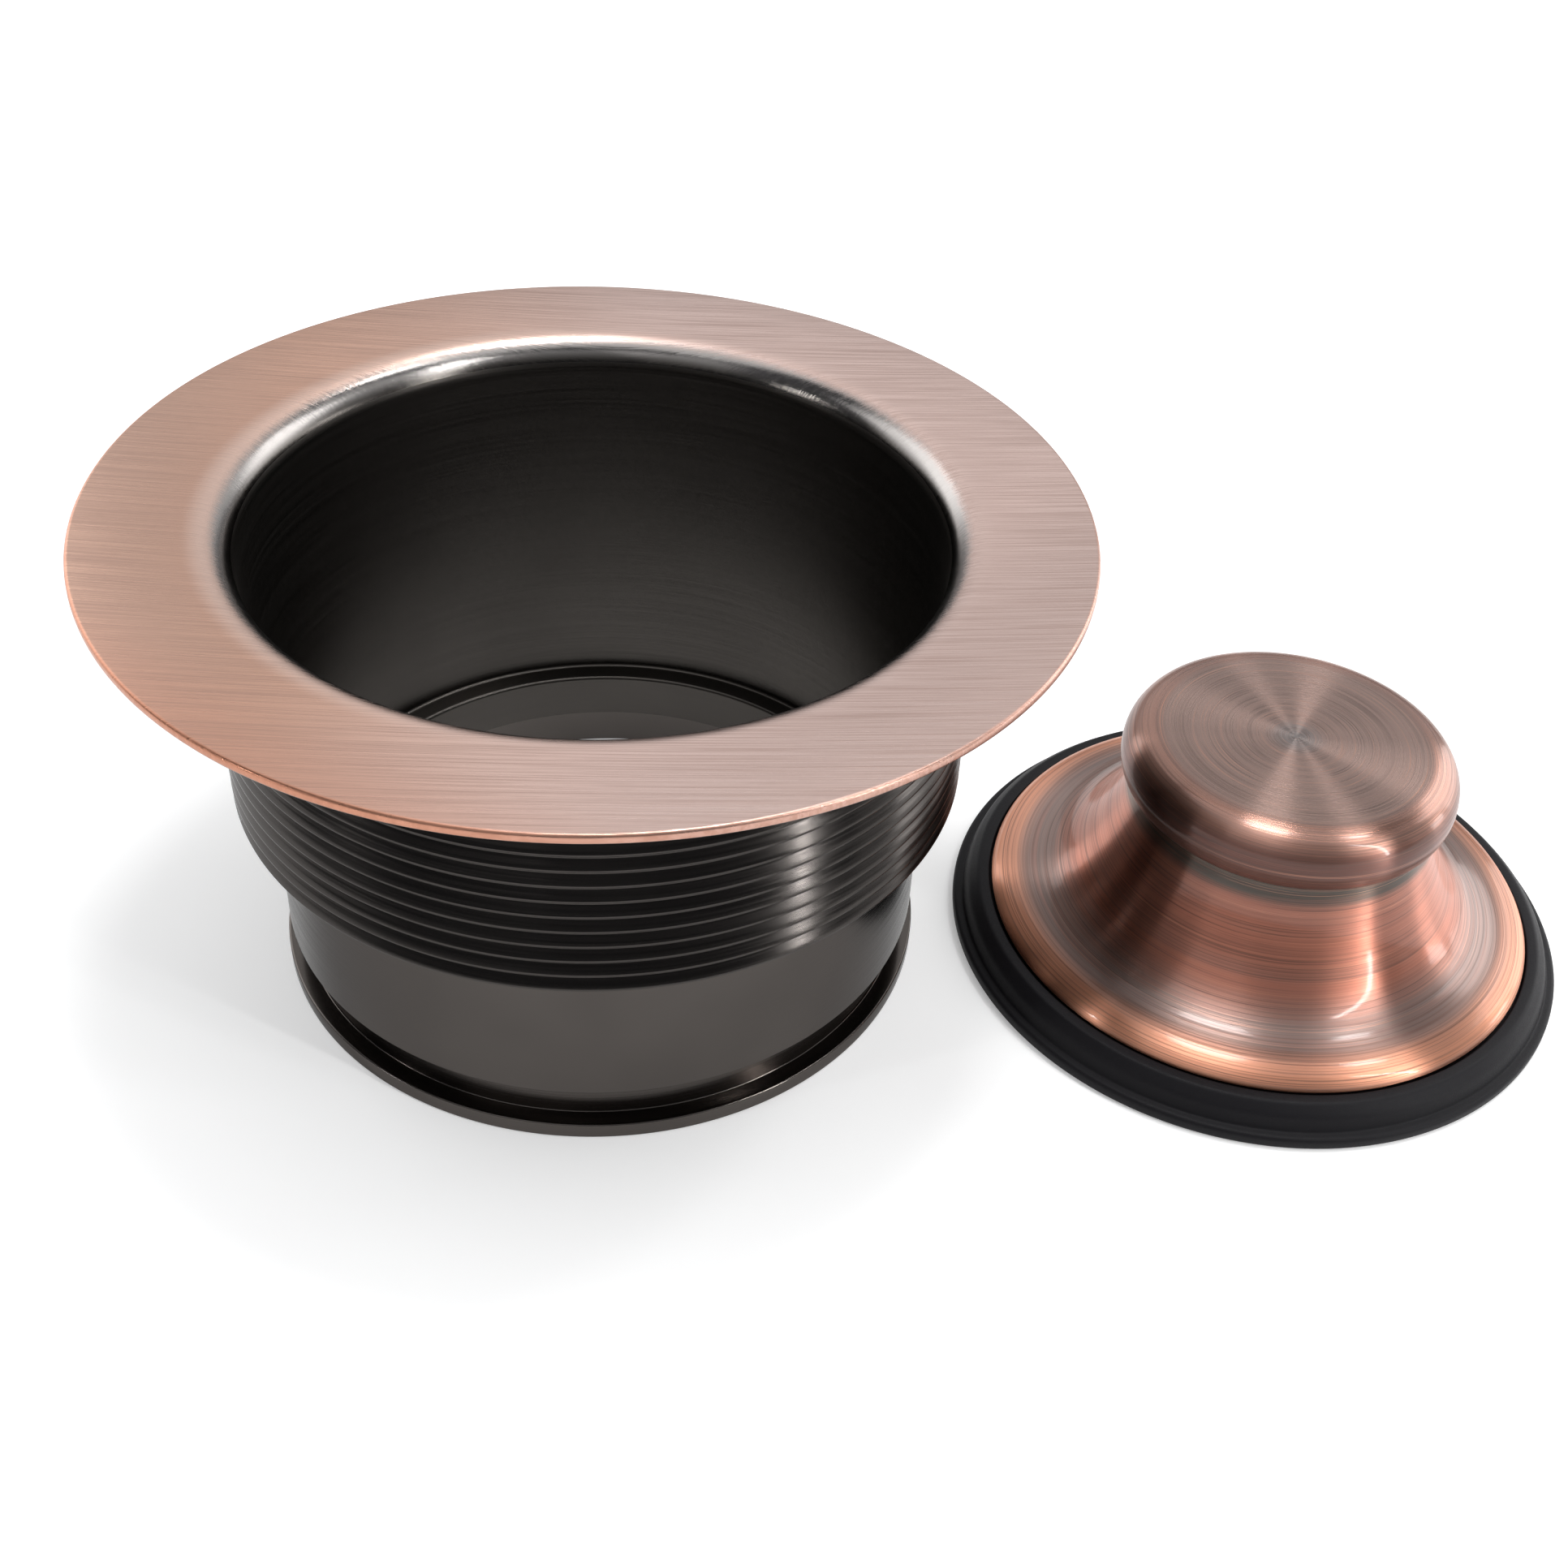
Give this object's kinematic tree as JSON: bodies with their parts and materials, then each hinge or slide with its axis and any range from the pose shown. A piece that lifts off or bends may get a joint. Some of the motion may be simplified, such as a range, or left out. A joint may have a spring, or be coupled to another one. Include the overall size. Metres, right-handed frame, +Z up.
{
  "type": "garbage disposal sink flange with stopper",
  "caption": "Threaded sink flange with a wide flat rim and open throat for a garbage disposal, with a matching knobbed stopper on a rubber seal.",
  "frame": {"origin": "middle of the set's footprint, on the surface that it stands on", "axes": "+X from the flange's axis towards the stopper, +Z up along both axes of revolution"},
  "size_m": [0.1842, 0.1142, 0.061],
  "materials": {
    "flange_metal": "antique copper, brushed on the rim and dark bronze on the barrel",
    "cap_metal": "antique copper, lathe brushed, darkened in the hollows",
    "seal_rubber": "matte black",
    "plain_steel": "plain turned"
  },
  "bodies": {
    "flange": {"sink_flange": "flange_metal"},
    "stopper": {"stopper_cap": "cap_metal", "stopper_seal": "seal_rubber", "retainer_plate": "plain_steel", "retainer_washer": "plain_steel", "retainer_screw": "plain_steel"}
  },
  "joints": [
    {"name": "stopper_lift", "type": "slide", "parent": "flange", "child": "stopper", "axis": [0.4472, 0, 0.8944], "range_m": [0, 0.14]}
  ]
}
